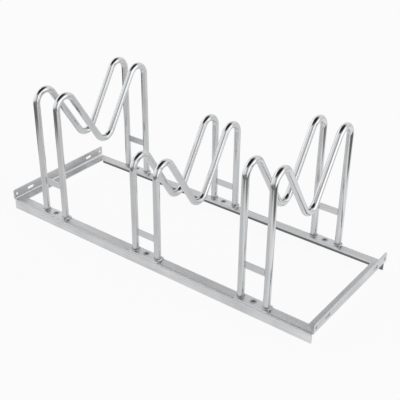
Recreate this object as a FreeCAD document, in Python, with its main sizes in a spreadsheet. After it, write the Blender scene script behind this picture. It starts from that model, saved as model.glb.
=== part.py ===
# Floor rack for three bicycles, in millimetres.
#
# The base is a flat frame of bent steel angle: two long rails and two end bars, mitred at the
# corners. Three stations stand on it. Each station is a pair of tube hoops bent to an M, with two
# straps between their legs that carry the tyre, welded on two foot plates that are screwed to the
# rails from below. The outer stations are high and the middle one is low, so handlebars clear.
#
# +X runs along the rails, +Y from the front rail to the rear one and +Z up. The origin is on the
# floor, in the middle of the base.

import FreeCAD, Part
import math
import os

import Sketcher
from FreeCAD import Placement, Rotation, Vector

DIMENSIONS = [
    # base frame
    ("rack_length", 1050, "over the outer faces of the end bars"),
    ("rack_depth", 390, "over the outer faces of the rails"),
    ("rail_height", 30, "floor to the top of the flanges"),
    ("flange_width", 30, "width of every flange, from the outer face in"),
    ("end_upright", 30, "height of the end bars' upright above the flange"),
    ("sheet", 3, "thickness of the angles' steel"),
    ("bend_inside", 3, "inside radius of the angles' bend"),
    ("rail_setback", 5, "rail end behind the end bar's outer face"),
    ("corner_radius", 5, "rounding of the uprights' upper corners"),
    # holes of the end bars
    ("bolt_hole", 9, "diameter of the plain bolt holes"),
    ("slot_width", 9, "width of the slots"),
    ("slot_length", 25, "length of the slots, end to end"),
    ("link_height", 15, "hole and slot centres above the flange"),
    ("link_hole_inset", 12, "round hole centre from the rail's outer face"),
    ("link_slot_inset", 67, "slot centre from the rail's outer face"),
    # stations
    ("station_count", 3, "number of stations"),
    ("station_pitch", "=rack_length / station_count", "so that linked racks keep one spacing"),
    ("station_shift", 6.5, "middle station to the left of the rack's middle"),
    ("hoop_gap", 78, "spacing of a station's two hoops, centre to centre"),
    ("hoop_shift", 3, "middle of the hoops behind the rack's middle"),
    # hoops
    ("tube_diameter", 19, "outside diameter of the hoop tube"),
    ("tube_wall", 1.5, "wall of the hoop tube"),
    ("hoop_span", "=rack_depth - tube_diameter - 2 * ( plate_margin + hoop_shift )",
     "spacing of a hoop's two legs, centre to centre"),
    ("bend_radius", 33, "radius of the tube's bends, on the centreline"),
    ("high_top", 414, "floor to the top of a high hoop"),
    ("low_top", 320, "floor to the top of a low hoop"),
    ("valley_drop", 179, "top of a hoop to the same line of its valley"),
    # straps that carry the tyre
    ("strap_height", 20, "width of the flat bar, standing on edge"),
    ("strap_thickness", 3, "thickness of the flat bar"),
    ("high_strap", 134, "floor to the middle of a high station's strap"),
    ("low_strap", 93, "floor to the middle of a low station's strap"),
    ("weld_gap", 0.1, "joint gap between welded curved faces"),
    ("weld_size", 3.5, "leg of the fillet weld round a foot"),
    # foot plates and their screws
    ("plate_margin", 0.5, "foot plate beyond the tubes' outer sides and the rear legs' backs"),
    ("plate_length", "=hoop_gap + tube_diameter + 2 * plate_margin", "foot plate along the rail"),
    ("plate_thickness", 5, "thickness of the foot plate"),
    ("tapped_hole", 8.4, "threaded hole of the foot plate, drawn plain"),
    ("screw_diameter", 8, "thread of the foot screw"),
    ("screw_head_width", 13, "hexagon head across its flats"),
    ("screw_head_height", 5.3, "height of the hexagon head"),
    ("screw_recess", 2, "screw tip below the foot plate's top"),
    ("washer_diameter", 16, "outside diameter of the washer"),
    ("washer_thickness", 1.6, "thickness of the washer"),
]

doc = FreeCAD.newDocument("floor_bike_rack")
sheet = doc.addObject("Spreadsheet::Sheet", "Dimensions")
for row, (alias, value, meaning) in enumerate(DIMENSIONS, start=1):
    sheet.set("A%d" % row, alias)
    sheet.set("B%d" % row, str(value))
    sheet.set("C%d" % row, meaning)
    sheet.setAlias("B%d" % row, alias)
doc.recompute()

size = {alias: float(sheet.get(alias)) for alias, value, meaning in DIMENSIONS}
station_count = int(size["station_count"])


def formula(text):
    """Write the sheet's name in front of every dimension in an expression."""
    words = text.split(" ")
    return " ".join("Dimensions." + word if word in size else word for word in words)


# ---------------------------------------------------------------- sketches


def new_sketch(body, name, plane):
    """An empty sketch on one of the body's own origin planes."""
    sketch = body.newObject("Sketcher::SketchObject", body.Name + "_" + name)
    support = next(item for item in body.Origin.OriginFeatures if item.Role == plane)
    sketch.AttachmentSupport = [(support, "")]
    sketch.MapMode = "FlatFace"
    return sketch


def bind(sketch, kind, where, value, text):
    """Add a driving size to a sketch and tie it to the sheet."""
    index = sketch.addConstraint(Sketcher.Constraint(kind, *where, value))
    sketch.setExpression("Constraints[%d]" % index, formula(text))


def place(sketch, item, point, axis, value, text):
    """Tie a point's distance from the sketch's origin, on whichever side it lies."""
    where = (-1, 1, item, point) if value > 0 else (item, point, -1, 1)
    bind(sketch, "Distance" + axis, where, abs(value), text)


def touching_ends(sketch, first, second):
    """The end numbers at which two curves of a sketch meet."""
    for end in (1, 2):
        for other in (1, 2):
            gap = sketch.getPoint(first, end) - sketch.getPoint(second, other)
            if gap.Length < 1e-6:
                return end, other
    raise ValueError("curves of %s do not meet" % sketch.Name)


def draw_chain(sketch, curves, closed=True, smooth=True):
    """Draw curves joined end to end, smoothly beside arcs, with square lines kept square."""
    items = [sketch.addGeometry(curve) for curve in curves]
    followers = items[1:] + items[:1] if closed else items[1:]
    joints = [(a, b) + touching_ends(sketch, a, b) for a, b in zip(items, followers)]
    straight = [isinstance(curve, Part.LineSegment) for curve in curves]
    for a, b, end, other in joints:
        sharp = not smooth or (straight[a - items[0]] and straight[b - items[0]])
        kind = "Coincident" if sharp else "Tangent"
        sketch.addConstraint(Sketcher.Constraint(kind, a, end, b, other))
    for item, curve, is_line in zip(items, curves, straight):
        if is_line:
            run = curve.EndPoint - curve.StartPoint
            if abs(run.x) < 1e-9:
                sketch.addConstraint(Sketcher.Constraint("Vertical", item))
            elif abs(run.y) < 1e-9:
                sketch.addConstraint(Sketcher.Constraint("Horizontal", item))
    return items


def line(a, b):
    return Part.LineSegment(Vector(*a), Vector(*b))


def arc(centre, radius, first, last):
    """An arc about a centre, between two angles in degrees."""
    points = []
    for angle in (first, (first + last) / 2, last):
        turn = math.radians(angle)
        points.append(Vector(centre[0] + radius * math.cos(turn), centre[1] + radius * math.sin(turn)))
    return Part.Arc(*points)


def draw_slot(sketch, x, y, x_text, y_text):
    """A slot that runs along the rack's depth, whichever sketch axis that is."""
    radius = size["slot_width"] / 2
    half = (size["slot_length"] - size["slot_width"]) / 2
    along_x = sketch.AttachmentSupport[0][0].Role == "YZ_Plane"
    step = Vector(half, 0) if along_x else Vector(0, half)
    side = Vector(0, radius) if along_x else Vector(radius, 0)
    centre = Vector(x, y)
    turn = 0 if along_x else 90
    low, high = centre - step, centre + step
    curves = [
        line((low + side)[:2], (high + side)[:2]),
        arc(high[:2], radius, turn - 90, turn + 90),
        line((high - side)[:2], (low - side)[:2]),
        arc(low[:2], radius, turn + 90, turn + 270),
    ]
    items = draw_chain(sketch, curves)
    bind(sketch, "Radius", (items[1],), radius, "slot_width / 2")
    axis = "X" if along_x else "Y"
    bind(sketch, "Distance" + axis, (items[3], 3, items[1], 3), 2 * half, "slot_length - slot_width")
    middle = sketch.addGeometry(Part.Point(centre), True)
    sketch.addConstraint(Sketcher.Constraint("Symmetric", items[3], 3, items[1], 3, middle, 1))
    for axis, value, text in (("X", x, x_text), ("Y", y, y_text)):
        if value:
            place(sketch, middle, 1, axis, value, text)
        else:
            sketch.addConstraint(Sketcher.Constraint("PointOnObject", middle, 1, -2 if axis == "X" else -1))


def draw_circle(sketch, x, y, radius, x_text, y_text, radius_text):
    item = sketch.addGeometry(Part.Circle(Vector(x, y), Vector(0, 0, 1), radius))
    bind(sketch, "Radius", (item,), radius, radius_text)
    for axis, value, text in (("X", x, x_text), ("Y", y, y_text)):
        if value:
            place(sketch, item, 3, axis, value, text)
        else:
            sketch.addConstraint(Sketcher.Constraint("PointOnObject", item, 3, -2 if axis == "X" else -1))


# ---------------------------------------------------------------- features


def new_body(name):
    body = doc.addObject("PartDesign::Body", name)
    body.Label = name
    return body


def pad(body, sketch, text, symmetric=False):
    feature = body.newObject("PartDesign::Pad", sketch.Name + "_pad")
    feature.Profile = sketch
    feature.SideType = "Symmetric" if symmetric else "One side"
    feature.setExpression("Length", formula(text))
    return feature


def cut_through(body, sketch):
    """Cut a sketch right through the body, and make sure that it took material away."""
    doc.recompute()
    before = body.Shape.Volume
    feature = body.newObject("PartDesign::Pocket", sketch.Name + "_cut")
    feature.Profile = sketch
    feature.Type = "ThroughAll"
    feature.SideType = "Symmetric"
    doc.recompute()
    if body.Shape.Volume > before - 1:
        raise ValueError("%s cuts nothing" % sketch.Name)
    return feature


def put(item, x="0", y="0", z="0", turned=False):
    """Place a sub-part by formulas of the sheet, turned half round where asked."""
    item.Placement = Placement(Vector(), Rotation(Vector(0, 0, 1), 180 if turned else 0))
    for axis, text in (("x", x), ("y", y), ("z", z)):
        item.setExpression(".Placement.Base." + axis, formula(text))


# ---------------------------------------------------------------- base frame


def draw_angle(sketch, rise, leg, leg_text):
    """Section of a bent angle: heel at the origin, flange inwards, leg up or down."""
    thick = size["sheet"]
    inner = size["bend_inside"]
    outer = inner + thick
    width = size["flange_width"]
    centre = (outer, rise * outer)
    curves = [
        line((0, rise * leg), (0, rise * outer)),
        arc(centre, outer, 180, 180 + rise * 90),
        line((outer, 0), (width, 0)),
        line((width, 0), (width, rise * thick)),
        line((width, rise * thick), (outer, rise * thick)),
        arc(centre, inner, 180 + rise * 90, 180),
        line((thick, rise * outer), (thick, rise * leg)),
        line((thick, rise * leg), (0, rise * leg)),
    ]
    items = draw_chain(sketch, curves)
    heel, flange, edge, tip = items[1], items[2], items[3], items[7]
    sketch.addConstraint(Sketcher.Constraint("PointOnObject", items[0], 1, -2))
    sketch.addConstraint(Sketcher.Constraint("PointOnObject", flange, 1, -1))
    place(sketch, flange, 2, "X", width, "flange_width")
    place(sketch, items[0], 1, "Y", rise * leg, leg_text)
    bind(sketch, "Distance", (edge,), thick, "sheet")
    bind(sketch, "Distance", (tip,), thick, "sheet")
    bind(sketch, "Radius", (heel,), outer, "bend_inside + sheet")
    bind(sketch, "Radius", (items[5],), inner, "bend_inside")


def draw_mitre(sketch, side, along):
    """Triangle that leaves a 45 degree mitre at one end of a bar's flange."""
    over = size["flange_width"] + size["sheet"]
    over_text = "flange_width + sheet"
    half = size["rack_length" if along == "X" else "rack_depth"] / 2
    half_text = "rack_length / 2" if along == "X" else "rack_depth / 2"
    corner, square, tip = (side * half, 0), (side * half, over), (side * (half - over), over)
    if along == "Y":
        corner, square, tip = corner[::-1], square[::-1], tip[::-1]
    items = draw_chain(sketch, [line(corner, square), line(square, tip), line(tip, corner)])
    sketch.addConstraint(Sketcher.Constraint("Equal", items[0], items[1]))
    sketch.addConstraint(Sketcher.Constraint("PointOnObject", items[0], 1, -1 if along == "X" else -2))
    place(sketch, items[0], 1, along, side * half, half_text)
    bind(sketch, "Distance", (items[0],), over, over_text)


def build_rail(name, facing):
    """A long rail: leg down to the floor on the outside, flange on top, mitred at both ends."""
    rail = new_body(name)
    section = new_sketch(rail, "section", "YZ_Plane")
    draw_angle(section, -1, size["rail_height"], "rail_height")
    pad(rail, section, "rack_length - 2 * rail_setback", symmetric=True)

    mitres = new_sketch(rail, "mitres", "XY_Plane")
    for side in (-1, 1):
        draw_mitre(mitres, side, "X")
    cut_through(rail, mitres)

    # one hole under each foot plate; the turned rail counts its stations the other way
    shift = facing * size["station_shift"]
    reach = size["station_pitch"] * (station_count - 1) / 2
    sign = "+" if facing > 0 else "-"
    reach_text = "station_pitch * ( station_count - 1 )"
    holes = new_sketch(rail, "screw_hole", "XY_Plane")
    draw_circle(holes, -reach - shift, size["flange_width"] / 2, size["bolt_hole"] / 2,
                reach_text + " / 2 " + sign + " station_shift", "flange_width / 2", "bolt_hole / 2")
    hole = cut_through(rail, holes)
    row = rail.newObject("PartDesign::LinearPattern", name + "_screw_holes")
    row.Originals = [hole]
    row.Direction = (mitres, ["H_Axis"])
    row.setExpression("Length", formula(reach_text))
    row.setExpression("Occurrences", formula("station_count"))
    rail.Tip = row

    put(rail, y="rack_depth / %d" % (-2 * facing), z="rail_height", turned=facing < 0)
    return rail


def build_end_bar(name, turned):
    """An end bar: flange level with the rails' flanges, upright on the outside for linking racks."""
    bar = new_body(name)
    upright = size["end_upright"] + size["sheet"]
    section = new_sketch(bar, "section", "XZ_Plane")
    draw_angle(section, 1, upright, "end_upright + sheet")
    pad(bar, section, "rack_depth", symmetric=True)

    mitres = new_sketch(bar, "mitres", "XY_Plane")
    for side in (-1, 1):
        draw_mitre(mitres, side, "Y")
    cut_through(bar, mitres)

    corners = new_sketch(bar, "corners", "YZ_Plane")
    bend = size["corner_radius"]
    for side in (-1, 1):
        end = side * size["rack_depth"] / 2
        centre = (end - side * bend, upright - bend)
        items = draw_chain(corners, [
            line((end, upright), (end, centre[1])),
            arc(centre, bend, 90 - side * 90, 90),
            line((centre[0], upright), (end, upright)),
        ])
        place(corners, items[0], 1, "X", end, "rack_depth / 2")
        place(corners, items[0], 1, "Y", upright, "end_upright + sheet")
        bind(corners, "Radius", (items[1],), bend, "corner_radius")
    cut_through(bar, corners)

    links = new_sketch(bar, "link_holes", "YZ_Plane")
    height = size["link_height"] + size["sheet"]
    for side in (-1, 1):
        slot_y = side * (size["rack_depth"] / 2 - size["link_slot_inset"])
        hole_y = side * (size["rack_depth"] / 2 - size["link_hole_inset"])
        draw_slot(links, slot_y, height, "rack_depth / 2 - link_slot_inset", "link_height + sheet")
        draw_circle(links, hole_y, height, size["bolt_hole"] / 2,
                    "rack_depth / 2 - link_hole_inset", "link_height + sheet", "bolt_hole / 2")
    cut_through(bar, links)

    anchor = new_sketch(bar, "anchor_slot", "XY_Plane")
    draw_slot(anchor, size["flange_width"] / 2, 0, "flange_width / 2", "0")
    bar.Tip = cut_through(bar, anchor)

    put(bar, x="rack_length / %d" % (2 if turned else -2), z="rail_height - sheet", turned=turned)
    return bar


parts = [
    build_rail("front_rail", 1),
    build_rail("rear_rail", -1),
    build_end_bar("left_end_bar", False),
    build_end_bar("right_end_bar", True),
]


# ---------------------------------------------------------------- hoops


def draw_hoop(sketch, top, top_text):
    """Centreline of a hoop: an M of straight runs and equal bends, feet on the sketch's X axis.

    With A and B the spans left for the slope after one bend radius each way, the slope leans from
    the vertical by the angle a that solves A cos a - B sin a = 2 r.
    """
    bend = size["bend_radius"]
    half = size["hoop_span"] / 2
    crown = top - size["tube_diameter"] / 2 - size["rail_height"] - size["plate_thickness"] - bend
    trough = crown - size["valley_drop"] + 2 * bend
    across, down = half - bend, size["valley_drop"] - 2 * bend
    lean = math.degrees(math.acos(2 * bend / math.hypot(across, down)) - math.atan2(down, across))

    def on_arc(centre, angle):
        turn = math.radians(angle)
        return (centre[0] + bend * math.cos(turn), centre[1] + bend * math.sin(turn))

    left, middle, right = (bend - half, crown), (0, trough), (half - bend, crown)
    curves = [
        line((-half, 0), (-half, crown)),
        arc(left, bend, 180, lean),
        line(on_arc(left, lean), on_arc(middle, 180 + lean)),
        arc(middle, bend, 180 + lean, 360 - lean),
        line(on_arc(middle, 360 - lean), on_arc(right, 180 - lean)),
        arc(right, bend, 180 - lean, 0),
        line((half, crown), (half, 0)),
    ]
    items = draw_chain(sketch, curves, closed=False)
    crown_text = top_text + " - tube_diameter / 2 - rail_height - plate_thickness - bend_radius"
    for item, end, side in ((items[0], 1, -1), (items[6], 2, 1)):
        sketch.addConstraint(Sketcher.Constraint("PointOnObject", item, end, -1))
        place(sketch, item, end, "X", side * half, "hoop_span / 2")
    for item in (items[1], items[5]):
        place(sketch, item, 3, "Y", crown, crown_text)
    sketch.addConstraint(Sketcher.Constraint("PointOnObject", items[3], 3, -2))
    place(sketch, items[3], 3, "Y", trough, crown_text + " - valley_drop + 2 * bend_radius")
    for item in (items[1], items[3], items[5]):
        bind(sketch, "Radius", (item,), bend, "bend_radius")


def build_hoop(name, top_name, x_text):
    """A hollow tube swept along the M, its two open ends on the foot plates."""
    hoop = new_body(name)
    path = new_sketch(hoop, "centreline", "YZ_Plane")
    draw_hoop(path, size[top_name], top_name)
    ring = new_sketch(hoop, "ring", "XY_Plane")
    for radius, text in ((size["tube_diameter"] / 2, "tube_diameter / 2"),
                         (size["tube_diameter"] / 2 - size["tube_wall"], "tube_diameter / 2 - tube_wall")):
        draw_circle(ring, 0, -size["hoop_span"] / 2, radius, "0", "hoop_span / 2", text)
    doc.recompute()
    tube = hoop.newObject("PartDesign::AdditivePipe", name + "_tube")
    tube.Profile = ring
    tube.Spine = path
    put(hoop, x=x_text, y="hoop_shift", z="rail_height + plate_thickness")
    doc.recompute()
    section = math.pi * size["tube_wall"] * (size["tube_diameter"] - size["tube_wall"])
    if abs(hoop.Shape.Volume / (section * path.Shape.Length) - 1) > 1e-3:
        raise ValueError("%s is not a full tube" % name)
    return hoop


# ---------------------------------------------------------------- straps and foot plates


def build_strap(name, middle_text, x_text, side):
    """A flat bar on edge between two legs, its ends coped round the tubes."""
    strap = new_body(name)
    half_gap = size["hoop_gap"] / 2
    half_thick = size["strap_thickness"] / 2
    cope = size["tube_diameter"] / 2 + size["weld_gap"]
    angle = math.degrees(math.asin(half_thick / cope))
    end = half_gap - math.sqrt(cope ** 2 - half_thick ** 2)
    outline = new_sketch(strap, "outline", "XY_Plane")
    curves = [
        line((-end, -half_thick), (end, -half_thick)),
        arc((half_gap, 0), cope, 180 + angle, 180 - angle),
        line((end, half_thick), (-end, half_thick)),
        arc((-half_gap, 0), cope, angle, -angle),
    ]
    items = draw_chain(outline, curves, smooth=False)
    for item, where in ((items[1], 1), (items[3], -1)):
        outline.addConstraint(Sketcher.Constraint("PointOnObject", item, 3, -1))
        place(outline, item, 3, "X", where * half_gap, "hoop_gap / 2")
        bind(outline, "Radius", (item,), cope, "tube_diameter / 2 + weld_gap")
    for item, where in ((items[0], -1), (items[2], 1)):
        place(outline, item, 1, "Y", where * half_thick, "strap_thickness / 2")
    pad(strap, outline, "strap_height", symmetric=True)
    put(strap, x=x_text, y="hoop_shift %s hoop_span / 2" % side, z=middle_text)
    return strap


def build_foot_plate(name, x_text, y_text):
    """A flat bar on the rail's flange with a tapped hole in its middle."""
    plate = new_body(name)
    half_length = size["plate_length"] / 2
    half_width = size["flange_width"] / 2
    outline = new_sketch(plate, "outline", "XY_Plane")
    corners = [(-half_length, -half_width), (half_length, -half_width),
               (half_length, half_width), (-half_length, half_width)]
    items = draw_chain(outline, [line(a, b) for a, b in zip(corners, corners[1:] + corners[:1])])
    for item, where in ((items[0], -1), (items[1], 1)):
        place(outline, item, 1, "X", where * half_length, "plate_length / 2")
    for item, where in ((items[1], -1), (items[2], 1)):
        place(outline, item, 1, "Y", where * half_width, "flange_width / 2")
    draw_circle(outline, 0, 0, size["tapped_hole"] / 2, "0", "0", "tapped_hole / 2")
    pad(plate, outline, "plate_thickness")
    put(plate, x=x_text, y=y_text, z="rail_height")
    return plate


# ---------------------------------------------------------------- fasteners and weld beads


def primitive(kind, name, sizes, **place_texts):
    """A Part primitive whose sizes and place are formulas of the sheet."""
    item = doc.addObject("Part::" + kind, name)
    for prop, text in sizes.items():
        item.setExpression(prop, formula(text))
    put(item, **place_texts)
    return item


def combined(kind, name, base, tool):
    item = doc.addObject("Part::" + kind, name)
    item.Base = base
    item.Tool = tool
    return item


def gathered(name, pieces):
    """One sub-part that holds several separate, identical solids."""
    group = doc.addObject("Part::Compound", name)
    group.Label = name
    group.Links = pieces
    return group


def build_washer(tag, x_text, y_text):
    """A flat washer under the flange."""
    where = {"x": x_text, "y": y_text, "z": "rail_height - sheet - washer_thickness"}
    disc = primitive("Cylinder", "washer_disc_" + tag,
                     {"Radius": "washer_diameter / 2", "Height": "washer_thickness"}, **where)
    bore = primitive("Cylinder", "washer_bore_" + tag,
                     {"Radius": "tapped_hole / 2", "Height": "washer_thickness"}, **where)
    return combined("Cut", "washer_" + tag, disc, bore)


def build_screw(tag, x_text, y_text):
    """A hexagon screw from below, through washer and flange into the foot plate."""
    seat = "rail_height - sheet - washer_thickness"
    head = primitive("Prism", "screw_head_" + tag,
                     {"Circumradius": "screw_head_width / sqrt( 3 )", "Height": "screw_head_height"},
                     x=x_text, y=y_text, z=seat + " - screw_head_height")
    head.Polygon = 6
    shank = primitive("Cylinder", "screw_shank_" + tag,
                      {"Radius": "screw_diameter / 2",
                       "Height": "washer_thickness + sheet + plate_thickness - screw_recess"},
                      x=x_text, y=y_text, z=seat)
    return combined("Fuse", "screw_" + tag, head, shank)


def build_foot_weld(tag, leg_x, leg_y, plate_x, plate_y):
    """The fillet of weld round a tube's foot, no wider than the foot plate."""
    foot = {"x": leg_x, "y": leg_y, "z": "rail_height + plate_thickness"}
    bead = primitive("Torus", "weld_bead_" + tag,
                     {"Radius1": "tube_diameter / 2", "Radius2": "weld_size"}, **foot)
    core = primitive("Cylinder", "weld_core_" + tag,
                     {"Radius": "tube_diameter / 2 + weld_gap", "Height": "weld_size"}, **foot)
    land = primitive("Box", "weld_land_" + tag,
                     {"Length": "plate_length", "Width": "flange_width", "Height": "weld_size"},
                     x=plate_x + " - plate_length / 2", y=plate_y + " - flange_width / 2", z=foot["z"])
    ring = combined("Common", "weld_ring_" + tag, bead, land)
    return combined("Cut", "weld_" + tag, ring, core)


# ---------------------------------------------------------------- stations

screws = []
washers = []
welds = []
middle_station = (station_count - 1) / 2
for station in range(station_count):
    number = station + 1
    high = station % 2 == 0
    top_name, strap_name = ("high_top", "high_strap") if high else ("low_top", "low_strap")
    station_x = "%g * station_pitch - station_shift" % (station - middle_station)
    for hand, sign in (("left", "-"), ("right", "+")):
        hoop_x = "%s %s hoop_gap / 2" % (station_x, sign)
        parts.append(build_hoop("hoop_%d_%s" % (number, hand), top_name, hoop_x))
    for row, sign in (("front", "-"), ("rear", "+")):
        tag = "%d_%s" % (number, row)
        rail_y = "( rack_depth - flange_width ) / %s2" % sign
        leg_y = "hoop_shift %s hoop_span / 2" % sign
        parts.append(build_strap("strap_" + tag, strap_name, station_x, sign))
        parts.append(build_foot_plate("foot_plate_" + tag, station_x, rail_y))
        screws.append(build_screw(tag, station_x, rail_y))
        washers.append(build_washer(tag, station_x, rail_y))
        for hand, offset in (("left", "-"), ("right", "+")):
            leg_x = "%s %s hoop_gap / 2" % (station_x, offset)
            welds.append(build_foot_weld(tag + "_" + hand, leg_x, leg_y, station_x, rail_y))

parts.append(gathered("foot_screws", screws))
parts.append(gathered("foot_washers", washers))
parts.append(gathered("foot_welds", welds))

# ---------------------------------------------------------------- check and write

doc.recompute()
for item in doc.Objects:
    if "Invalid" in item.State or "Error" in item.State:
        raise ValueError("%s failed: %s" % (item.Name, item.State))
for part in parts:
    if part.Shape.isNull() or not part.Shape.isValid():
        raise ValueError("%s has no valid shape" % part.Label)

os.makedirs("parts", exist_ok=True)
for part in parts:
    part.Shape.exportStep("parts/%s.step" % part.Label)
    box = part.Shape.BoundBox
    print("%-18s %2d solid(s) %8.0f mm3  x %7.1f %7.1f  y %7.1f %7.1f  z %6.1f %6.1f" % (
        part.Label, len(part.Shape.Solids), part.Shape.Volume,
        box.XMin, box.XMax, box.YMin, box.YMax, box.ZMin, box.ZMax))
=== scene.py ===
import math

import bmesh
import bpy
from mathutils import Matrix, Vector


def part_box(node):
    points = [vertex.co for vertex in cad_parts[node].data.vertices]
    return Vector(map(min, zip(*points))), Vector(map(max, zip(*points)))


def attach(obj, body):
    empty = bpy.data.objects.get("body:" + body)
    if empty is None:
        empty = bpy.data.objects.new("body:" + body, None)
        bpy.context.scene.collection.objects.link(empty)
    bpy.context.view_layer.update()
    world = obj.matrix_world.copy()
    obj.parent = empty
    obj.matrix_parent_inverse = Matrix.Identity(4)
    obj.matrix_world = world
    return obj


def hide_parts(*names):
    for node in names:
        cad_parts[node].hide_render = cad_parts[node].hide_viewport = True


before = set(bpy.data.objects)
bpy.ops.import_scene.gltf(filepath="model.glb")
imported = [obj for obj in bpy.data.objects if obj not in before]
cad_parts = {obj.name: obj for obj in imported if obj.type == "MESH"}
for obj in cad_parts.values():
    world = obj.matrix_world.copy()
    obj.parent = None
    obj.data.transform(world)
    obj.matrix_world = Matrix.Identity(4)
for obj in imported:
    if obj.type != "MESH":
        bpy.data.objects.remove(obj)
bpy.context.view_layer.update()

# ---------------------------------------------------------------- the studio
# A long lens looks down on the rack, on a white floor between soft boxes left, right and in front.
# Bright zinc mirrors the room: a dark ceiling, a dark gap low in front, and a bright sheet of floor
# that ends a little way outside the rack.

turn, tilt, roll = (math.radians(angle) for angle in (36.9, 29.95, -0.55))
ahead = Vector((-math.sin(turn) * math.cos(tilt), math.cos(turn) * math.cos(tilt), -math.sin(tilt)))
level = Vector((math.cos(turn), math.sin(turn), 0))
upward = level.cross(ahead)
side = level * math.cos(roll) - upward * math.sin(roll)
top = level * math.sin(roll) + upward * math.cos(roll)
camera = bpy.data.objects.new("camera", bpy.data.cameras.new("camera"))
bpy.context.collection.objects.link(camera)
camera_place = (1.1884, -1.5309, 1.2408)
camera.matrix_world = Matrix.Translation(camera_place) @ Matrix((side, top, -ahead)).transposed().to_4x4()
camera.data.sensor_width = 36
camera.data.lens = 71.27
bpy.context.scene.camera = camera
bpy.context.scene.view_settings.view_transform = "Standard"


def wire(tree, source, target):
    """Joins one node's output to another's input, each given as (node, socket)."""
    tree.links.new(source[0].outputs[source[1]], target[0].inputs[target[1]])


def add(tree, kind, values=(), **settings):
    """A node with its settings, its fixed inputs and, where an input is a pair, its link."""
    node = tree.nodes.new(kind)
    for name, value in settings.items():
        setattr(node, name, value)
    for socket, value in dict(values).items():
        if isinstance(value, tuple) and isinstance(value[0], bpy.types.Node):
            wire(tree, value, (node, socket))
        else:
            node.inputs[socket].default_value = value
    return node


def ramp(tree, source, stops):
    """A straight-line colour ramp on a value, from pairs of place and grey level."""
    node = add(tree, "ShaderNodeValToRGB", {0: source})
    node.color_ramp.interpolation = "LINEAR"
    while len(node.color_ramp.elements) < len(stops):
        node.color_ramp.elements.new(0.5)
    for element, (place, grey) in zip(node.color_ramp.elements, stops):
        element.position = place
        element.color = (grey, grey, grey, 1)
    return node


def maths(tree, operation, *values):
    """A maths node on numbers or on (node, socket) pairs, as a (node, socket) pair."""
    return add(tree, "ShaderNodeMath", dict(enumerate(values)), operation=operation), 0


def fade(tree, source, start, end):
    """A smooth step from 0 to 1 as a value goes from start to end."""
    return add(tree, "ShaderNodeMapRange", {0: source, 1: start, 2: end}, interpolation_type="SMOOTHSTEP"), 0


def band(tree, source, rise, fall):
    """1 where a value is past its rise and short of its fall, each a pair of start and end."""
    return maths(tree, "MULTIPLY", fade(tree, source, *rise), fade(tree, source, *fall))


world = bpy.data.worlds.new("studio")
bpy.context.scene.world = world
world.use_nodes = True
tree = world.node_tree
tree.nodes.clear()
direction = add(tree, "ShaderNodeTexCoord")
split = add(tree, "ShaderNodeSeparateXYZ", {0: (direction, "Generated")})
height = (split, 2)
flat = add(tree, "ShaderNodeVectorMath", {0: (direction, "Generated"), 1: (1, 1, 0)}, operation="MULTIPLY")
compass = add(tree, "ShaderNodeVectorMath", {0: (flat, 0)}, operation="NORMALIZE")


def room_part(below, bearing, spread, low, high, light, edge=6):
    """Lays a level of light over part of the room: bearings from the front, heights from the horizon."""
    bearing, spread, low, high, edge = (math.radians(angle) for angle in (bearing, spread, low, high, edge))
    toward = (math.sin(bearing), -math.cos(bearing), 0)
    facing = add(tree, "ShaderNodeVectorMath", {0: (compass, 0), 1: toward}, operation="DOT_PRODUCT")
    across = fade(tree, (facing, "Value"), math.cos(spread + edge), math.cos(max(spread - edge, 0)))
    above = fade(tree, height, math.sin(low - edge), math.sin(low + edge))
    under = fade(tree, height, math.sin(high + edge), math.sin(high - edge))
    share = maths(tree, "MULTIPLY", maths(tree, "MULTIPLY", across, above), under)
    return add(tree, "ShaderNodeMix", {0: share, 2: below, 3: light}), 0


raised = maths(tree, "MULTIPLY_ADD", height, 0.5, 0.5)
walls = [(0.0, 0.15), (0.47, 0.15), (0.51, 0.8), (0.75, 0.95)]
ceiling = [(0.85, 0.6), (0.9, 0.06), (1.0, 0.01)]
room = ramp(tree, raised, walls + ceiling), 0
# a greyer wall behind the camera, and the dark gap at its foot
room = room_part(room, bearing=35, spread=42, low=8, high=50, light=0.5, edge=8)
room = room_part(room, bearing=32, spread=46, low=-19, high=6, light=0.25, edge=5)
# the pale sweep behind the rack, below the horizon
room = room_part(room, bearing=180, spread=42, low=-60, high=4, light=0.8, edge=10)
# the soft boxes: left, right and a narrow one in front
room = room_part(room, bearing=-86, spread=30, low=-12, high=50, light=1.3)
room = room_part(room, bearing=98, spread=34, low=-14, high=32, light=1.5)
room = room_part(room, bearing=-6, spread=13, low=14, high=48, light=1.1)
light_path = add(tree, "ShaderNodeLightPath")
seen = maths(tree, "MAXIMUM", (light_path, "Is Camera Ray"), (light_path, "Is Transmission Ray"))
shade = add(tree, "ShaderNodeMix", {0: seen, 2: room, 3: 1.0})
lit = add(tree, "ShaderNodeBackground", {"Color": (shade, 0), "Strength": 1.0})
add(tree, "ShaderNodeOutputWorld", {"Surface": (lit, 0)})

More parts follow.
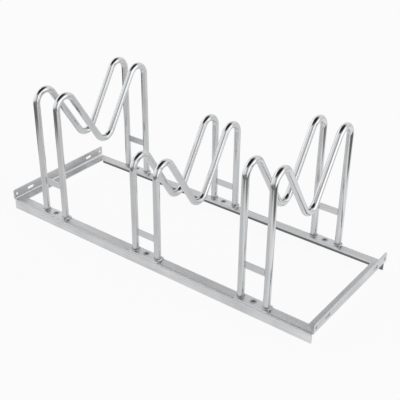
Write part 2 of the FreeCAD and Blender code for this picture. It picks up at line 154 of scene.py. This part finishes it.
floor_mesh = bpy.data.meshes.new("floor")
floor_mesh.from_pydata([(-9, -9, -2e-4), (9, -9, -2e-4), (9, 9, -2e-4), (-9, 9, -2e-4)], [], [(0, 1, 2, 3)])
floor = bpy.data.objects.new("floor", floor_mesh)
bpy.context.collection.objects.link(floor)
floor_paint = bpy.data.materials.new("floor_paint")
floor_paint.use_nodes = True
tree = floor_paint.node_tree
tree.nodes.clear()
matt = add(tree, "ShaderNodeBsdfDiffuse", {"Color": (0.9, 0.9, 0.9, 1)})
glow = add(tree, "ShaderNodeEmission", {"Color": (1, 1, 1, 1)})
clear = add(tree, "ShaderNodeBsdfTransparent")
light_path = add(tree, "ShaderNodeLightPath")
own_light = 0.93
share = maths(tree, "MULTIPLY", (light_path, "Is Camera Ray"), own_light)
paint = add(tree, "ShaderNodeMixShader", {0: share, 1: (matt, 0), 2: (glow, 0)})
mirrored = maths(tree, "MAXIMUM", (light_path, "Is Glossy Ray"), (light_path, "Is Transmission Ray"))
spot = add(tree, "ShaderNodeSeparateXYZ", {0: (add(tree, "ShaderNodeTexCoord"), "Object")})
# the mirrored sheet fades out at its four sides and is brighter inward of the front, and to the right
sheet_width = band(tree, (spot, 0), rise=(-0.95, -0.79), fall=(0.93, 0.77))
sheet_depth = band(tree, (spot, 1), rise=(-0.92, -0.78), fall=(1.1, 0.9))
sheet = maths(tree, "MULTIPLY", sheet_width, sheet_depth)
dimmest, more_inward, more_right = 0.68, 0.1, 0.2
inner = maths(tree, "MULTIPLY_ADD", fade(tree, (spot, 1), -0.42, -0.24), more_inward, dimmest)
brightness = maths(tree, "MULTIPLY_ADD", fade(tree, (spot, 0), 0.3, 0.62), more_right, inner)
shine = add(tree, "ShaderNodeEmission", {"Color": (1, 1, 1, 1), "Strength": brightness})
sheen = add(tree, "ShaderNodeMixShader", {0: sheet, 1: (clear, 0), 2: (shine, 0)})
paint = add(tree, "ShaderNodeMixShader", {0: mirrored, 1: (paint, 0), 2: (sheen, 0)})
add(tree, "ShaderNodeOutputMaterial", {"Surface": (paint, 0)})
floor_mesh.materials.append(floor_paint)

# ---------------------------------------------------------------- rails and end bars
# Cold-bent 3 mm steel angle, sheared, mitred, welded at the corners and zinc plated dull.
# The rolling direction of the sheet stays visible as faint streaks along each bar. The root of the
# end bars' bends carries a painted highlight, the rails' bends are painted lighter and rougher, and
# the inside of the rails under the flange is painted dark as shade.


def effect(name, inputs, outputs, kind="ShaderNodeTree"):
    """An empty node group with named sockets, and its two end nodes."""
    group = bpy.data.node_groups.new(name, kind)
    for way, sockets in (("INPUT", inputs), ("OUTPUT", outputs)):
        for socket, sort, value in sockets:
            made = group.interface.new_socket(socket, in_out=way, socket_type="NodeSocket" + sort)
            if value is not None:
                made.default_value = value
    return group, group.nodes.new("NodeGroupInput"), group.nodes.new("NodeGroupOutput")


# zinc: streaks along the grain, a fine crystal bloom and broad cloudy patches, as one tone from 0 to 1
zinc, start, end = effect(
    "zinc_surface",
    [("Place", "Vector", None), ("Grain", "Vector", (1, 1, 1)), ("Grain Scale", "Float", 420.0),
     ("Bloom Scale", "Float", 700.0), ("Cloud Scale", "Float", 14.0), ("Contrast", "Float", 1.0)],
    [("Tone", "Float", None), ("Grain", "Float", None), ("Bloom", "Float", None)])
stretched = add(zinc, "ShaderNodeVectorMath", {0: (start, "Place"), 1: (start, "Grain")},
                operation="MULTIPLY")
grain = add(zinc, "ShaderNodeTexNoise", {
    "Vector": (stretched, 0), "Scale": (start, "Grain Scale"), "Detail": 3.0, "Roughness": 0.6})
bloom = add(zinc, "ShaderNodeTexVoronoi", {"Vector": (start, "Place"), "Scale": (start, "Bloom Scale")},
            feature="SMOOTH_F1")
cloud = add(zinc, "ShaderNodeTexNoise", {
    "Vector": (start, "Place"), "Scale": (start, "Cloud Scale"), "Detail": 4.0, "Roughness": 0.55})
share_of_bloom, share_of_cloud = 0.25, 0.4
fine = add(zinc, "ShaderNodeMix", {0: share_of_bloom, 2: (grain, 0), 3: (bloom, 0)})
mixed = add(zinc, "ShaderNodeMix", {0: share_of_cloud, 2: (fine, 0), 3: (cloud, 0)})
centred = maths(zinc, "SUBTRACT", (mixed, 0), 0.5)
scaled = maths(zinc, "MULTIPLY_ADD", centred, (start, "Contrast"), 0.5)
wire(zinc, maths(zinc, "MINIMUM", maths(zinc, "MAXIMUM", scaled, 0.0), 1.0), (end, "Tone"))
wire(zinc, (grain, 0), (end, "Grain"))
wire(zinc, (bloom, 0), (end, "Bloom"))


def zinc_finish(name, grain_way, dark, light, smooth, rough, dents=0.15, place=None, contrast=3.0,
                streak=420.0, stain=None):
    """A zinc material: metal whose colour and roughness follow the zinc surface, with fine relief.

    A stain is a function that returns a mask in the material's tree, and the colour and roughness
    that the zinc has where the mask is 1.
    """
    material = bpy.data.materials.new(name)
    material.use_nodes = True
    tree = material.node_tree
    tree.nodes.clear()
    if place:
        where = (add(tree, "ShaderNodeAttribute", attribute_name=place), "Vector")
    else:
        where = (add(tree, "ShaderNodeTexCoord"), "Object")
    surface = tree.nodes.new("ShaderNodeGroup")
    surface.node_tree = zinc
    wire(tree, where, (surface, "Place"))
    surface.inputs["Grain"].default_value = grain_way
    surface.inputs["Contrast"].default_value = contrast
    surface.inputs["Grain Scale"].default_value = streak
    tones = {0: (surface, "Tone"), 6: dark + (1,), 7: light + (1,)}
    colour = add(tree, "ShaderNodeMix", tones, data_type="RGBA"), 2
    gloss = add(tree, "ShaderNodeMapRange", {0: (surface, "Tone"), 3: smooth, 4: rough}), 0
    if stain:
        for mask, tint, roughness in stain(tree, where, surface):
            colour = add(tree, "ShaderNodeMix", {0: mask, 6: colour, 7: tint + (1,)}, data_type="RGBA"), 2
            gloss = add(tree, "ShaderNodeMix", {0: mask, 2: gloss, 3: roughness}), 0
    bloom_in_relief, relief_depth = 0.4, 0.0002
    relief = add(tree, "ShaderNodeMix", {0: bloom_in_relief, 2: (surface, "Grain"), 3: (surface, "Bloom")})
    bump = add(tree, "ShaderNodeBump", {"Strength": dents, "Distance": relief_depth, "Height": (relief, 0)})
    metal = add(tree, "ShaderNodeBsdfPrincipled", {"Base Color": colour, "Metallic": 1.0, "Roughness": gloss,
                                                  "Normal": (bump, 0)})
    add(tree, "ShaderNodeOutputMaterial", {"Surface": (metal, 0)})
    return material


def finish_node(name, material, rounding=None):
    """Gives a CAD node its finish and, where it has sheared edges, breaks them a little."""
    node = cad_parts[name]
    node.data.materials.clear()
    node.data.materials.append(material)
    for face in node.data.polygons:
        face.material_index = 0
    if rounding:
        weld = node.modifiers.new("joined", "WELD")
        weld.merge_threshold = 1e-6
        merge = node.modifiers.new("whole_faces", "DECIMATE")
        merge.decimate_type = "DISSOLVE"
        merge.angle_limit = math.radians(0.5)
        bevel = node.modifiers.new("broken_edges", "BEVEL")
        bevel.width = rounding
        bevel.segments = 2
        bevel.limit_method = "ANGLE"
        bevel.angle_limit = math.radians(40)
        bevel.harden_normals = True
    return node


bar_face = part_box("right_end_bar")[1][0]
rail_face, flange_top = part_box("rear_rail")[1][1:]


def painted_root_highlight(tree, where, surface):
    """Painted highlight: the inside of the end bars' bend painted light and made smoother."""
    place = add(tree, "ShaderNodeSeparateXYZ", {0: where})
    out = maths(tree, "ABSOLUTE", (place, 0))
    near = band(tree, out, rise=(bar_face - 0.0075, bar_face - 0.0055),
                fall=(bar_face - 0.0022, bar_face - 0.0032))
    low = band(tree, (place, 2), rise=(flange_top - 0.0008, flange_top),
               fall=(flange_top + 0.0045, flange_top + 0.0025))
    # painted highlight: the bend's root painted nearly white
    root_highlight_tint = (0.92, 0.92, 0.93)
    return [(maths(tree, "MULTIPLY", near, low), root_highlight_tint, 0.3)]


def painted_rail_shade_and_light(tree, where, surface):
    """Painted shade on the inside of the rails under the flange, and painted light round the bends, which are
    also rougher.
    """
    place = add(tree, "ShaderNodeSeparateXYZ", {0: where})
    out = maths(tree, "ABSOLUTE", (place, 1))
    behind = band(tree, out, rise=(rail_face - 0.028, rail_face - 0.026),
                  fall=(rail_face - 0.0015, rail_face - 0.0025))
    inside = maths(tree, "MULTIPLY", behind, fade(tree, (place, 2), flange_top - 0.0025, flange_top - 0.0035))
    outer = fade(tree, out, rail_face - 0.007, rail_face - 0.0055)
    bend = maths(tree, "MULTIPLY", outer, fade(tree, (place, 2), flange_top - 0.0065, flange_top - 0.005))
    # painted light on the rails' bends, lighter and rougher; painted shade on the inside under the flange
    bend_light_tint, inside_shade_tint = (0.86, 0.86, 0.87), (0.2, 0.2, 0.21)
    return [(bend, bend_light_tint, 0.75), (inside, inside_shade_tint, 0.5)]


along_x, along_y = (0.02, 1, 1), (1, 0.02, 1)
rail_zinc = zinc_finish("dull_zinc_rail", along_x, (0.66, 0.67, 0.68), (0.9, 0.9, 0.91), 0.36, 0.5,
                        contrast=4.0, streak=170.0, stain=painted_rail_shade_and_light)
# the end bars' zinc is painted darker than the rails': painted shade for the duller look their crosswise
# grain gives
bar_zinc = zinc_finish("dull_zinc_end_bar", along_y, (0.52, 0.53, 0.54), (0.78, 0.78, 0.79), 0.28, 0.42,
                       contrast=4.0, streak=170.0, stain=painted_root_highlight)
for name in ("front_rail", "rear_rail"):
    finish_node(name, rail_zinc, rounding=0.0003)
for name in ("left_end_bar", "right_end_bar"):
    finish_node(name, bar_zinc, rounding=0.0003)

# ---------------------------------------------------------------- foot plates
# Bright zinc flat bar, sheared to length, with a tapped hole in the middle. The hole is painted
# near black and a ring round it darker: painted shade.

pitch = (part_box("foot_plate_3_front")[0][0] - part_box("foot_plate_1_front")[0][0]) / 2
middle = (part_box("foot_plate_2_front")[0][0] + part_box("foot_plate_2_front")[1][0]) / 2
plate_row = (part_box("foot_plate_1_rear")[0][1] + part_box("foot_plate_1_rear")[1][1]) / 2


def painted_hole_shade(tree, where, surface):
    """Painted shade: the hole in each plate's middle painted near black, and a ring round it painted darker.
    """
    place = add(tree, "ShaderNodeSeparateXYZ", {0: where})
    along = maths(tree, "SUBTRACT", (place, 0), middle)
    station = maths(tree, "MULTIPLY", maths(tree, "ROUND", maths(tree, "DIVIDE", along, pitch)), pitch)
    dx = maths(tree, "SUBTRACT", along, station)
    dy = maths(tree, "SUBTRACT", maths(tree, "ABSOLUTE", (place, 1)), plate_row)
    away = maths(tree, "SQRT", maths(tree, "MULTIPLY_ADD", dx, dx, maths(tree, "MULTIPLY", dy, dy)))
    rim = fade(tree, away, 0.012, 0.005)
    thread = fade(tree, away, 0.0044, 0.0042)
    # painted shade: the hole near black, the ring round it darker
    rim_shade_tint, hole_shade_tint = (0.36, 0.36, 0.37), (0.24, 0.235, 0.23)
    return [(rim, rim_shade_tint, 0.4), (thread, hole_shade_tint, 0.5)]


plate_zinc = zinc_finish("bright_zinc_plate", along_x, (0.62, 0.63, 0.64), (0.82, 0.82, 0.83), 0.22, 0.36,
                         stain=painted_hole_shade)
for number in (1, 2, 3):
    for row in ("front", "rear"):
        finish_node("foot_plate_%d_%s" % (number, row), plate_zinc, rounding=0.0004)

# ---------------------------------------------------------------- hoops
# Cold-drawn steel tube, bent three times on one former to an M and zinc plated bright. The draw
# marks run along the tube; the last centimetre above each foot is painted darker as shade.


def painted_foot_shade(tree, where, surface):
    """Painted shade: the zinc painted darker over the last centimetre above each foot."""
    heights = add(tree, "ShaderNodeSeparateXYZ", {0: (add(tree, "ShaderNodeTexCoord"), "Object")})
    unevenness, strength = 0.006, 0.5
    ragged = maths(tree, "MULTIPLY_ADD", (surface, "Grain"), unevenness, (heights, 2))
    # painted shade: darker zinc just above each foot
    foot_shade_tint = (0.36, 0.36, 0.36)
    return [(maths(tree, "MULTIPLY", fade(tree, ragged, 0.049, 0.041), strength), foot_shade_tint, 0.4)]


tube_zinc = zinc_finish("drawn_tube_zinc", (1, 1, 0.012), (0.6, 0.61, 0.62), (0.8, 0.8, 0.81), 0.05, 0.22,
                        dents=0.05, place="tube_place", streak=260.0, stain=painted_foot_shade)


def shape_tree(name, inputs):
    """A geometry node group with named sizes, and its two end nodes."""
    return effect(name, [("Geometry", "Geometry", None)] + inputs, [("Geometry", "Geometry", None)],
                  "GeometryNodeTree")


def finished(tree, shape, end, material):
    """Ends a shape's tree: instances made real, smooth faces and the piece's own material."""
    real = add(tree, "GeometryNodeRealizeInstances", {0: shape})
    smooth = add(tree, "GeometryNodeSetShadeSmooth", {0: (real, 0)})
    coated = add(tree, "GeometryNodeSetMaterial", {"Geometry": (smooth, 0), "Material": material})
    wire(tree, (coated, 0), (end, 0))


def grown(name, tree, sizes, seeds=None):
    """A piece grown by a node tree from its named sizes, turned into a plain clean mesh."""
    piece = bpy.data.objects.new(name, seeds or bpy.data.meshes.new(name + "_seed"))
    bpy.context.collection.objects.link(piece)
    grower = piece.modifiers.new("grown", "NODES")
    grower.node_group = tree
    for socket in tree.interface.items_tree:
        if socket.in_out == "INPUT" and socket.name in sizes:
            grower[socket.identifier] = sizes[socket.name]
    mesh = bpy.data.meshes.new_from_object(piece.evaluated_get(bpy.context.evaluated_depsgraph_get()))
    piece.modifiers.remove(grower)
    piece.data = mesh
    mesh.name = name
    while mesh.materials and mesh.materials[0] is None:
        mesh.materials.pop(index=0)
    work = bmesh.new()
    work.from_mesh(mesh)
    bmesh.ops.remove_doubles(work, verts=work.verts, dist=1e-6)
    bmesh.ops.recalc_face_normals(work, faces=work.faces)
    work.to_mesh(mesh)
    work.free()
    return piece


hoop_tree, start, end = shape_tree("bent_tube", [
    ("Across", "Float", 0.364), ("Sideways", "Float", 0.0), ("Middle", "Float", 0.003),
    ("Foot", "Float", 0.035), ("Hump", "Float", 0.486), ("Valley", "Float", 0.1965),
    ("Bend", "Float", 0.033), ("Tube", "Float", 0.0095)])
half = maths(hoop_tree, "MULTIPLY", (start, "Across"), 0.5)
front_leg = maths(hoop_tree, "SUBTRACT", (start, "Middle"), half)
rear_leg = maths(hoop_tree, "ADD", (start, "Middle"), half)
corner = add(hoop_tree, "GeometryNodeIndexSwitch", data_type="VECTOR")
for spare in range(3):
    corner.index_switch_items.new()
wire(hoop_tree, (hoop_tree.nodes.new("GeometryNodeInputIndex"), 0), (corner, 0))
for number, (y, z) in enumerate(((front_leg, "Foot"), (front_leg, "Hump"), ((start, "Middle"), "Valley"),
                                 (rear_leg, "Hump"), (rear_leg, "Foot")), start=1):
    point = add(hoop_tree, "ShaderNodeCombineXYZ", {0: (start, "Sideways"), 1: y, 2: (start, z)})
    wire(hoop_tree, (point, 0), (corner, number))
straight = add(hoop_tree, "GeometryNodeCurvePrimitiveLine", {"End": (0, 1, 0)})
five = add(hoop_tree, "GeometryNodeResampleCurve", {0: (straight, 0), "Count": 5})
zigzag = add(hoop_tree, "GeometryNodeSetPosition", {0: (five, 0), "Position": (corner, 0)})
bent = add(hoop_tree, "GeometryNodeFilletCurve", {0: (zigzag, 0), "Count": 28, "Radius": (start, "Bend")},
           mode="POLY")
along = hoop_tree.nodes.new("GeometryNodeSplineParameter")
measured = hoop_tree.nodes.new("GeometryNodeCaptureAttribute")
measured.capture_items.new("FLOAT", "Along")
wire(hoop_tree, (bent, 0), (measured, 0))
wire(hoop_tree, (along, "Length"), (measured, 1))
ring = add(hoop_tree, "GeometryNodeCurvePrimitiveCircle", {"Resolution": 48, "Radius": (start, "Tube")})
ringed = hoop_tree.nodes.new("GeometryNodeCaptureAttribute")
ringed.capture_items.new("VECTOR", "Round")
wire(hoop_tree, (ring, 0), (ringed, 0))
wire(hoop_tree, (hoop_tree.nodes.new("GeometryNodeInputPosition"), 0), (ringed, 1))
tube = add(hoop_tree, "GeometryNodeCurveToMesh", {"Curve": (measured, 0), "Profile Curve": (ringed, 0)})
round_place = add(hoop_tree, "ShaderNodeSeparateXYZ", {0: (ringed, 1)})
tube_place = add(hoop_tree, "ShaderNodeCombineXYZ", {
    0: (round_place, 0), 1: (round_place, 1), 2: (measured, 1)})
marked = add(hoop_tree, "GeometryNodeStoreNamedAttribute", {"Geometry": (tube, 0), "Name": "tube_place"},
             data_type="FLOAT_VECTOR", domain="POINT")
wire(hoop_tree, (tube_place, 0), (marked, "Value"))
finished(hoop_tree, (marked, 0), end, tube_zinc)

tube_radius, wall, bend, drop = 0.0095, 0.0015, 0.033, 0.179
legs = {}
for number in (1, 2, 3):
    for hand in ("left", "right"):
        name = "hoop_%d_%s" % (number, hand)
        low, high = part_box(name)
        across = high[1] - low[1] - 2 * tube_radius
        crown = high[2] - tube_radius - bend
        trough = crown - drop + 2 * bend
        reach, fall = across / 2 - bend, drop - 2 * bend
        lean = math.acos(2 * bend / math.hypot(reach, fall)) - math.atan2(fall, reach)
        sideways, ymiddle = (low[0] + high[0]) / 2, (low[1] + high[1]) / 2
        hoop = grown(name + "_tube", hoop_tree, {
            "Across": across, "Sideways": sideways, "Middle": ymiddle, "Foot": low[2],
            "Hump": crown + bend / math.tan(lean / 2), "Valley": trough - bend / math.sin(lean),
            "Bend": bend, "Tube": tube_radius})
        thickness = hoop.modifiers.new("wall", "SOLIDIFY")
        thickness.thickness = wall
        thickness.offset = -1
        hoop.data = bpy.data.meshes.new_from_object(hoop.evaluated_get(bpy.context.evaluated_depsgraph_get()))
        hoop.modifiers.remove(thickness)
        hoop.data.set_sharp_from_angle(angle=math.radians(40))
        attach(hoop, "root")
        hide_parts(name)
        for row, y in (("front", ymiddle - across / 2), ("rear", ymiddle + across / 2)):
            legs[number, hand, row] = Vector((sideways, y, low[2]))

# ---------------------------------------------------------------- straps
# Flat bar on edge between two legs, coped to the tubes and welded.

strap_zinc = zinc_finish("bright_zinc_strap", along_x, (0.66, 0.67, 0.68), (0.82, 0.83, 0.84), 0.26, 0.38)
for number in (1, 2, 3):
    for row in ("front", "rear"):
        finish_node("strap_%d_%s" % (number, row), strap_zinc, rounding=0.0003)

# ---------------------------------------------------------------- weld beads
# Beads laid by hand round each foot and down both seams of each strap end, then plated over. Their
# scales overlap. Where a plate ends close to its tube the bead runs down over the plate's end, and
# behind the rear feet it is ground flush with the rail.

weld_zinc = zinc_finish("plated_weld", (1, 1, 1), (0.46, 0.46, 0.47), (0.78, 0.78, 0.79), 0.2, 0.42,
                        dents=0.3)


def bead(tree, path, size, scales, tapered):
    """A run of overlapping weld scales along a path, at the path's own place."""
    way = (tree.nodes.new("GeometryNodeSplineParameter"), "Factor")
    wave = maths(tree, "ABSOLUTE", maths(tree, "SINE", maths(tree, "MULTIPLY", way, scales * math.pi)))
    ripple, slimmest = 0.13, 0.9
    girth = maths(tree, "MULTIPLY_ADD", wave, ripple, slimmest)
    if tapered:
        tip, taper_over = 0.35, 0.16
        to_end = maths(tree, "MINIMUM", way, maths(tree, "SUBTRACT", 1.0, way))
        taper = maths(tree, "MULTIPLY_ADD", fade(tree, to_end, 0.0, taper_over), 1 - tip, tip)
        girth = maths(tree, "MULTIPLY", girth, taper)
    ring = add(tree, "GeometryNodeCurvePrimitiveCircle", {"Resolution": 10, "Radius": size})
    return add(tree, "GeometryNodeCurveToMesh", {"Curve": path, "Profile Curve": (ring, 0), "Scale": girth,
                                                 "Fill Caps": True}), 0


def placed(tree, shape, points, turned):
    """The shape at each point, each turned its own way about the vertical where it may be, and uneven."""
    spin = add(tree, "FunctionNodeRandomValue", {"Min": (0, 0, 0), "Max": (0, 0, turned), "Seed": 4},
               data_type="FLOAT_VECTOR")
    spots = add(tree, "GeometryNodeInstanceOnPoints", {
        "Points": points, "Instance": shape, "Rotation": (spin, 0)})
    real = add(tree, "GeometryNodeRealizeInstances", {0: (spots, 0)})
    lumps = add(tree, "ShaderNodeTexNoise", {"Scale": 260.0, "Detail": 1.0})
    lump_height = 0.0026
    push = maths(tree, "MULTIPLY", maths(tree, "SUBTRACT", (lumps, 0), 0.5), lump_height)
    outward = add(tree, "ShaderNodeVectorMath", {0: (tree.nodes.new("GeometryNodeInputNormal"), 0)},
                  operation="SCALE")
    wire(tree, push, (outward, "Scale"))
    return add(tree, "GeometryNodeSetPosition", {"Geometry": (real, 0), "Offset": (outward, 0)}), 0


def seed_points(name, places):
    """A mesh of loose points, one for each bead."""
    points = bpy.data.meshes.new(name)
    points.from_pydata(places, [], [])
    return points


foot_tree, start, end = shape_tree("foot_bead", [
    ("Reach", "Float", 0.0101), ("Size", "Float", 0.0021), ("Pitch", "Float", 0.35),
    ("Middle", "Float", -0.0065), ("Plate", "Float", 0.049), ("Edge", "Float", 0.195)])
foot_scales, sag_slope = 26, -1.3
loop = add(foot_tree, "GeometryNodeCurvePrimitiveCircle", {"Resolution": 130, "Radius": (start, "Reach")})
ring_bead = bead(foot_tree, (loop, 0), (start, "Size"), foot_scales, tapered=False)
beads = placed(foot_tree, ring_bead, (start, 0), turned=math.tau)
here = add(foot_tree, "ShaderNodeSeparateXYZ", {0: (foot_tree.nodes.new("GeometryNodeInputPosition"), 0)})
along = maths(foot_tree, "SUBTRACT", (here, 0), (start, "Middle"))
turns = maths(foot_tree, "ROUND", maths(foot_tree, "DIVIDE", along, (start, "Pitch")))
local = maths(foot_tree, "ABSOLUTE", maths(foot_tree, "SUBTRACT", along,
                                           maths(foot_tree, "MULTIPLY", turns, (start, "Pitch"))))
beyond = maths(foot_tree, "MAXIMUM", maths(foot_tree, "SUBTRACT", local, (start, "Plate")), 0.0)
sag = add(foot_tree, "ShaderNodeCombineXYZ", {2: maths(foot_tree, "MULTIPLY", beyond, sag_slope)})
sunk = add(foot_tree, "GeometryNodeSetPosition", {"Geometry": beads, "Offset": (sag, 0)})
laid = add(foot_tree, "ShaderNodeSeparateXYZ", {0: (foot_tree.nodes.new("GeometryNodeInputPosition"), 0)})
far_back = maths(foot_tree, "MINIMUM", (laid, 1), (start, "Edge"))
flush = add(foot_tree, "ShaderNodeCombineXYZ", {0: (laid, 0), 1: far_back, 2: (laid, 2)})
ground = add(foot_tree, "GeometryNodeSetPosition", {"Geometry": (sunk, 0), "Position": (flush, 0)})
finished(foot_tree, (ground, 0), end, weld_zinc)
weld_root, weld_rise = 0.0007, 0.0005
foot_beads = grown("foot_weld_beads", foot_tree, {
    "Reach": tube_radius + weld_root, "Size": 0.0022, "Pitch": pitch, "Middle": middle,
    "Plate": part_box("foot_plate_1_front")[1][0] - middle + pitch,
    "Edge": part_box("foot_plate_1_rear")[1][1]},
    seed_points("foot_bead_places", [place + Vector((0, 0, weld_rise)) for place in legs.values()]))
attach(foot_beads, "root")
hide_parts("foot_welds")

seam_tree, start, end = shape_tree("seam_bead", [("Length", "Float", 0.016), ("Size", "Float", 0.0013)])
top_end = add(seam_tree, "ShaderNodeCombineXYZ", {2: maths(seam_tree, "MULTIPLY", (start, "Length"), 0.5)})
low_end = add(seam_tree, "ShaderNodeCombineXYZ", {2: maths(seam_tree, "MULTIPLY", (start, "Length"), -0.5)})
upright = add(seam_tree, "GeometryNodeCurvePrimitiveLine", {"Start": (low_end, 0), "End": (top_end, 0)})
stepped = add(seam_tree, "GeometryNodeResampleCurve", {0: (upright, 0), "Count": 41})
seam_scales, seam_root = 9, 0.0003
seam_bead = bead(seam_tree, (stepped, 0), (start, "Size"), seam_scales, tapered=True)
finished(seam_tree, placed(seam_tree, seam_bead, (start, 0), turned=0.0), end, weld_zinc)
seams = []
for (number, hand, row), foot in legs.items():
    low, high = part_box("strap_%d_%s" % (number, row))
    half_thick = (high[1] - low[1]) / 2
    inward = 1 if hand == "left" else -1
    for face in (-1, 1):
        seams.append((foot.x + inward * (math.sqrt(tube_radius ** 2 - half_thick ** 2) + seam_root),
                      foot.y + face * (half_thick + seam_root), (low[2] + high[2]) / 2))
strap_beads = grown("strap_weld_beads", seam_tree, {"Length": 0.017, "Size": 0.0014},
                    seed_points("seam_bead_places", seams))
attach(strap_beads, "root")

# ---------------------------------------------------------------- screws and washers
# M8 screws up through the rails' flanges into the foot plates, with flat washers, zinc plated.

screw_zinc = zinc_finish("zinc_fastener", (1, 1, 0.1), (0.5, 0.51, 0.52), (0.62, 0.63, 0.64), 0.25, 0.35)
for name in ("foot_screws", "foot_washers"):
    finish_node(name, screw_zinc)
